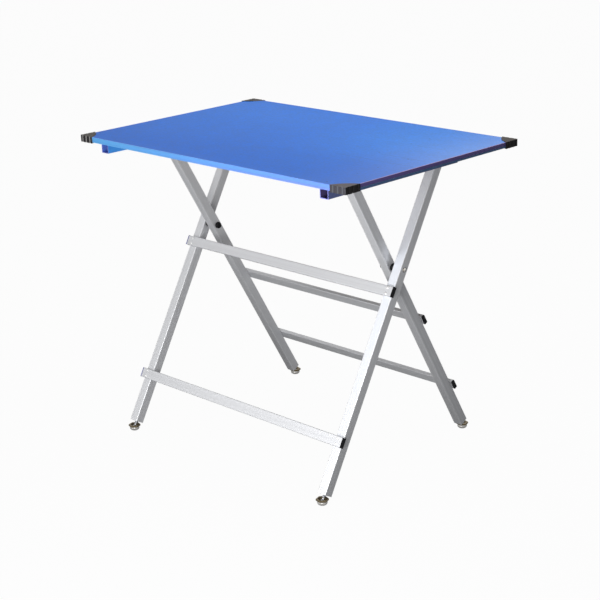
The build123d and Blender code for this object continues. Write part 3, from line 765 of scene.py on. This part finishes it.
class TABLE_OT_black_plastic(bpy.types.Operator):
    """Plugs, caps, collars, spacers, bushes and nut covers of black plastic, with a painted highlight on the
    front rails' left plugs
    """

    bl_idname = "table.black_plastic"
    bl_label = "Black plastic"

    def execute(self, context):
        """Give the black pieces their finish."""
        colours = context.scene.table_colours
        black = colours.black
        finish, ground = moulded_plastic("black_plastic", black, tuple(part + 0.02 for part in black))
        finish.paint(ground)
        names = ["cross_spacers", "cross_bushes", "cross_nut_left", "cross_nut_right", "rear_rail_plugs"]
        for kind in FRAMES:
            names += [f"{kind}_leg_plugs", f"{kind}_leg_caps", f"{kind}_rod_collars"]
        dress(finish.material, *names)
        plugs, ground = moulded_plastic("rail_plug_plastic", black, shaded(black, 1.5))
        # Painted highlight on the plugs at the left ends
        plugs.paint(plugs.mix(plugs.along(X_AXIS) < 0.0, ground, colours.plug_left_highlight))
        dress(plugs.material, "front_rail_plugs")
        return {"FINISHED"}


class TABLE_OT_plates(bpy.types.Operator):
    """Pivot and hook plates with a black powder coat"""

    bl_idname = "table.plates"
    bl_label = "Plates"

    def execute(self, context):
        """Give the four plates their finish."""
        plate = context.scene.table_colours.plate
        finish = Finish("plate_powder_coat", roughness=0.48)
        peel = finish.noise(700.0)
        finish.paint(finish.mix(finish.level(finish.noise(90.0, 3.0), 0.45, 0.8), plate, shaded(plate, 1.8)))
        finish.polish(0.42 + 0.14 * peel)
        finish.emboss(peel, COATED_RELIEF, 0.5)
        dress(finish.material, *(f"{kind}_plate_{hand}" for kind in ("pivot", "hook") for hand in HANDS))
        return {"FINISHED"}


class TABLE_OT_steel(bpy.types.Operator):
    """Plated rods, bolts, washers, screws and rivets"""

    bl_idname = "table.steel"
    bl_label = "Steel pieces"

    skirt_height = 0.0008

    def execute(self, context):
        """Give the steel pieces their finishes."""
        colours = context.scene.table_colours
        zinc, ground = plated_metal("zinc_plated_steel", colours.steel, 0.34)
        zinc.paint(ground)
        dress(zinc.material, "corner_cap_screws", "support_tube_screws", "plate_screws", "cross_washers")
        dress(zinc.material, "pivot_rod", "hook_rod")
        # The rivets take the pale colour of the painted highlight
        pressed, ground = plated_metal("rivet_aluminium", colours.aluminium_highlight, 0.36, 0.85, 0.5)
        pressed.paint(ground)
        dress(pressed.material, "front_rail_rivets", "rear_rail_rivets")
        head_start = max(abs(edge.x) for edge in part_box("cross_washers"))
        nickel, ground = plated_metal("nickel_plated_steel", colours.nickel, 0.2, 0.85)
        skirt_end = head_start + self.skirt_height
        reach = (skirt_end, skirt_end + 2 * SHARP_EDGE)
        skirt = nickel.level(abs(nickel.along(X_AXIS)), *reach, 1.0, 0.0)
        nickel.paint(nickel.mix(skirt, ground, colours.brass))
        dress(nickel.material, "cross_bolt_left", "cross_bolt_right")
        return {"FINISHED"}


class TABLE_OT_feet(bpy.types.Operator):
    """Levelling feet: threaded studs with ball ends, and swivelling bases with a bright cup"""

    bl_idname = "table.feet"
    bl_label = "Feet"

    turns = 48
    ball_rings = 16
    rings_per_pitch = 8

    def execute(self, context):
        """Make the studs and give the bases their finish."""
        scene = context.scene
        zinc, ground = plated_metal("foot_stud_zinc", scene.table_colours.steel, 0.3)
        zinc.paint(ground)
        base = self.base_finish(scene.table_colours, scene.table_sizes)
        for end in ENDS:
            for hand in HANDS:
                node = f"foot_stud_{end}_{hand}"
                centre = Vector(JOINTS[f"swivel_{end}_{hand}"]["pos_m"])
                upright = leg_direction(end).to_track_quat("Z", "X").to_matrix().to_4x4()
                data = self.stud_mesh(f"threaded_stud_{end}_{hand}", scene.table_sizes)
                data.transform(Matrix.Translation(centre) @ upright)
                data.materials.append(zinc.material)
                stud = bpy.data.objects.new(data.name, data)
                scene.collection.objects.link(stud)
                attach(stud, node)
                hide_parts(node)
                dress(base, f"foot_base_{end}_{hand}")
        return {"FINISHED"}

    @staticmethod
    def base_finish(colours, sizes):
        """Bright cup with a warm passivated flange on top."""
        finish = Finish("foot_base_plated", metallic=0.8, roughness=0.34)
        clouds = finish.noise(260.0, 4.0, 0.6)
        shade = finish.level(clouds, 0.3, 0.75)
        bronze = finish.mix(shade, shaded(colours.bronze, 0.7), colours.bronze)
        silver = finish.mix(shade, shaded(colours.cup, 0.8), colours.cup)
        flange = finish.level(finish.along(Z_AXIS), sizes.cup_height, sizes.cup_height + 2 * SHARP_EDGE)
        finish.paint(finish.mix(flange, silver, bronze))
        finish.polish(0.26 + 0.16 * clouds)
        finish.emboss(finish.noise(1800.0), PLATED_RELIEF, 0.5)
        return finish.material

    def stud_rings(self, sizes):
        """Rings from the ball's foot to the stud's top, each a radius, a height and a depth of thread."""
        ball, neck = sizes.ball_radius, sizes.neck_radius
        neck_angle = math.asin(neck / ball)
        rings = []
        for step in range(1, self.ball_rings + 1):
            polar = math.pi - (math.pi - neck_angle) * step / self.ball_rings
            rings.append((ball * math.sin(polar), ball * math.cos(polar), 0.0))
        rings.append((neck, sizes.stud_start, 0.0))
        rise = sizes.thread_pitch / self.rings_per_pitch
        start = sizes.stud_start + sizes.stud_chamfer
        count = int((sizes.stud_length - sizes.stud_chamfer - start) / rise)
        for step in range(count + 1):
            fade = min(1.0, step / self.rings_per_pitch, (count - step) / self.rings_per_pitch)
            rings.append((sizes.stud_radius, start + step * rise, sizes.thread_depth * fade))
        rings.append((sizes.stud_radius - sizes.stud_chamfer, sizes.stud_length, 0.0))
        return rings

    def stud_mesh(self, name, sizes):
        """A stud on Z, with the ball's middle at zero and a helical thread above its neck."""
        mesh = bmesh.new()
        foot = mesh.verts.new((0, 0, -sizes.ball_radius))
        rows = []
        for radius, height, depth in self.stud_rings(sizes):
            row = []
            for step in range(self.turns):
                angle = 2 * math.pi * step / self.turns
                phase = (height / sizes.thread_pitch - step / self.turns) % 1.0
                reach = radius - depth * abs(2 * phase - 1)
                row.append(mesh.verts.new((reach * math.cos(angle), reach * math.sin(angle), height)))
            rows.append(row)
        for step in range(self.turns):
            mesh.faces.new((foot, rows[0][(step + 1) % self.turns], rows[0][step]))
        for lower, upper in zip(rows, rows[1:]):
            for step in range(self.turns):
                after = (step + 1) % self.turns
                mesh.faces.new((lower[step], lower[after], upper[after], upper[step]))
        mesh.faces.new(rows[-1])
        bmesh.ops.recalc_face_normals(mesh, faces=mesh.faces)
        data = bpy.data.meshes.new(name)
        mesh.to_mesh(data)
        mesh.free()
        for face in data.polygons:
            face.use_smooth = len(face.vertices) < self.turns
        return data


class TABLE_OT_studio(bpy.types.Operator):
    """Pale floor, soft lamps, white background and the camera"""

    bl_idname = "table.studio"
    bl_label = "Studio"

    def execute(self, context):
        """Make the stage."""
        scene = context.scene
        studio = scene.table_studio
        self.add_camera(scene, studio)
        self.add_floor(scene, studio)
        self.add_world(scene, studio)
        for name, setting, width, place, aim in LAMPS:
            self.add_lamp(scene, name, getattr(studio, setting), width, place, aim)
        scene.view_settings.view_transform = "Standard"
        return {"FINISHED"}

    @staticmethod
    def add_camera(scene, studio):
        """Put the camera round the target at its azimuth, elevation, distance and roll."""
        level = math.cos(studio.elevation)
        back = Matrix.Rotation(studio.azimuth, 3, "Z") @ Vector((0, -level, math.sin(studio.elevation)))
        right = back.cross(-Z_AXIS).normalized()
        up = back.cross(right)
        roll = Matrix.Rotation(studio.roll, 3, back)
        camera = bpy.data.objects.new("camera", bpy.data.cameras.new("camera"))
        scene.collection.objects.link(camera)
        basis = Matrix((roll @ right, roll @ up, back)).transposed().to_4x4()
        camera.matrix_world = Matrix.Translation(Vector(studio.target) + back * studio.distance) @ basis
        camera.data.lens = studio.lens
        camera.data.sensor_width = SENSOR_WIDTH
        scene.camera = camera

    @staticmethod
    def add_floor(scene, studio):
        """Pale floor that shows white to the camera and keeps the table's shadow."""
        mesh = bmesh.new()
        bmesh.ops.create_grid(mesh, x_segments=1, y_segments=1, size=FLOOR_REACH)
        data = bpy.data.meshes.new("floor")
        mesh.to_mesh(data)
        mesh.free()
        floor = bpy.data.objects.new("floor", data)
        scene.collection.objects.link(floor)
        finish = Finish("floor_white", roughness=0.9, specular=0.1)
        finish.paint(studio.floor)
        glow = {"Color": WHITE, "Strength": studio.backdrop}
        white = finish.node("ShaderNodeEmission", None, glow)
        glossy, through = finish.light_path("Is Glossy Ray"), finish.light_path("Is Transmission Ray")
        mirrored = finish.math("MAXIMUM", glossy, through)
        shown = finish.light_path("Is Camera Ray") * studio.floor_glow + mirrored * studio.floor_sheen
        lit = Wire(finish, finish.surface.outputs[0])
        both = finish.node("ShaderNodeMixShader", None, {0: shown, 1: lit, 2: white})
        finish.join(both, finish.tree.nodes["Material Output"].inputs["Surface"])
        data.materials.append(finish.material)

    @staticmethod
    def add_world(scene, studio):
        """White to the camera and in reflections, and an even fill for everything else."""
        world = bpy.data.worlds.new("studio")
        scene.world = world
        world.use_nodes = True
        tree = world.node_tree
        tree.nodes.clear()
        out = tree.nodes.new("ShaderNodeOutputWorld")
        fill = tree.nodes.new("ShaderNodeBackground")
        fill.inputs["Color"].default_value = (*FILL_COLOUR, 1)
        fill.inputs["Strength"].default_value = studio.fill
        shown = tree.nodes.new("ShaderNodeBackground")
        shown.inputs["Color"].default_value = (*WHITE, 1)
        shown.inputs["Strength"].default_value = studio.backdrop
        path = tree.nodes.new("ShaderNodeLightPath")
        seen = path.outputs["Is Camera Ray"]
        for name in ("Is Glossy Ray", "Is Transmission Ray"):
            either = tree.nodes.new("ShaderNodeMath")
            either.operation = "MAXIMUM"
            tree.links.new(seen, either.inputs[0])
            tree.links.new(path.outputs[name], either.inputs[1])
            seen = either.outputs[0]
        choose = tree.nodes.new("ShaderNodeMixShader")
        tree.links.new(seen, choose.inputs[0])
        tree.links.new(fill.outputs[0], choose.inputs[1])
        tree.links.new(shown.outputs[0], choose.inputs[2])
        tree.links.new(choose.outputs[0], out.inputs["Surface"])

    @staticmethod
    def add_lamp(scene, name, watts, width, place, aim):
        """Square soft lamp that faces a point, hidden from the camera."""
        lamp = bpy.data.objects.new(name, bpy.data.lights.new(name, "AREA"))
        lamp.data.energy = watts
        lamp.data.size = width
        lamp.visible_camera = False
        scene.collection.objects.link(lamp)
        lamp.location = place
        lamp.rotation_euler = (Vector(aim) - Vector(place)).to_track_quat("-Z", "Y").to_euler()


PIECES = (
    TABLE_OT_deck_mat,
    TABLE_OT_deck_board,
    TABLE_OT_rim,
    TABLE_OT_support_tubes,
    TABLE_OT_corner_caps,
    TABLE_OT_legs,
    TABLE_OT_rails,
    TABLE_OT_black_plastic,
    TABLE_OT_plates,
    TABLE_OT_steel,
    TABLE_OT_feet,
    TABLE_OT_studio,
)
SETTINGS = (("table_colours", TableColours), ("table_sizes", TableSizes), ("table_studio", StudioSettings))


class TABLE_PT_pieces(bpy.types.Panel):
    """Lists the table's pieces and their settings"""

    bl_idname = "TABLE_PT_pieces"
    bl_label = "Grooming table"
    bl_space_type = "VIEW_3D"
    bl_region_type = "UI"
    bl_category = "Table"

    def draw(self, context):
        """Draw the settings, then a button for each piece."""
        for group, _ in SETTINGS:
            settings = getattr(context.scene, group)
            box = self.layout.box()
            for name in settings.bl_rna.properties.keys():
                if name not in ("name", "rna_type"):
                    box.prop(settings, name)
        for piece in PIECES:
            self.layout.operator(piece.bl_idname)


def register():
    """Register the classes and hang their settings on the scene."""
    for name, group in SETTINGS:
        bpy.utils.register_class(group)
        setattr(bpy.types.Scene, name, bpy.props.PointerProperty(type=group))
    for piece in PIECES:
        bpy.utils.register_class(piece)
    bpy.utils.register_class(TABLE_PT_pieces)


def unregister():
    """Undo register."""
    bpy.utils.unregister_class(TABLE_PT_pieces)
    for piece in reversed(PIECES):
        bpy.utils.unregister_class(piece)
    for name, group in reversed(SETTINGS):
        delattr(bpy.types.Scene, name)
        bpy.utils.unregister_class(group)


def main():
    register()
    for piece in PIECES:
        family, action = piece.bl_idname.split(".")
        getattr(getattr(bpy.ops, family), action)()


if __name__ == "__main__":
    main()
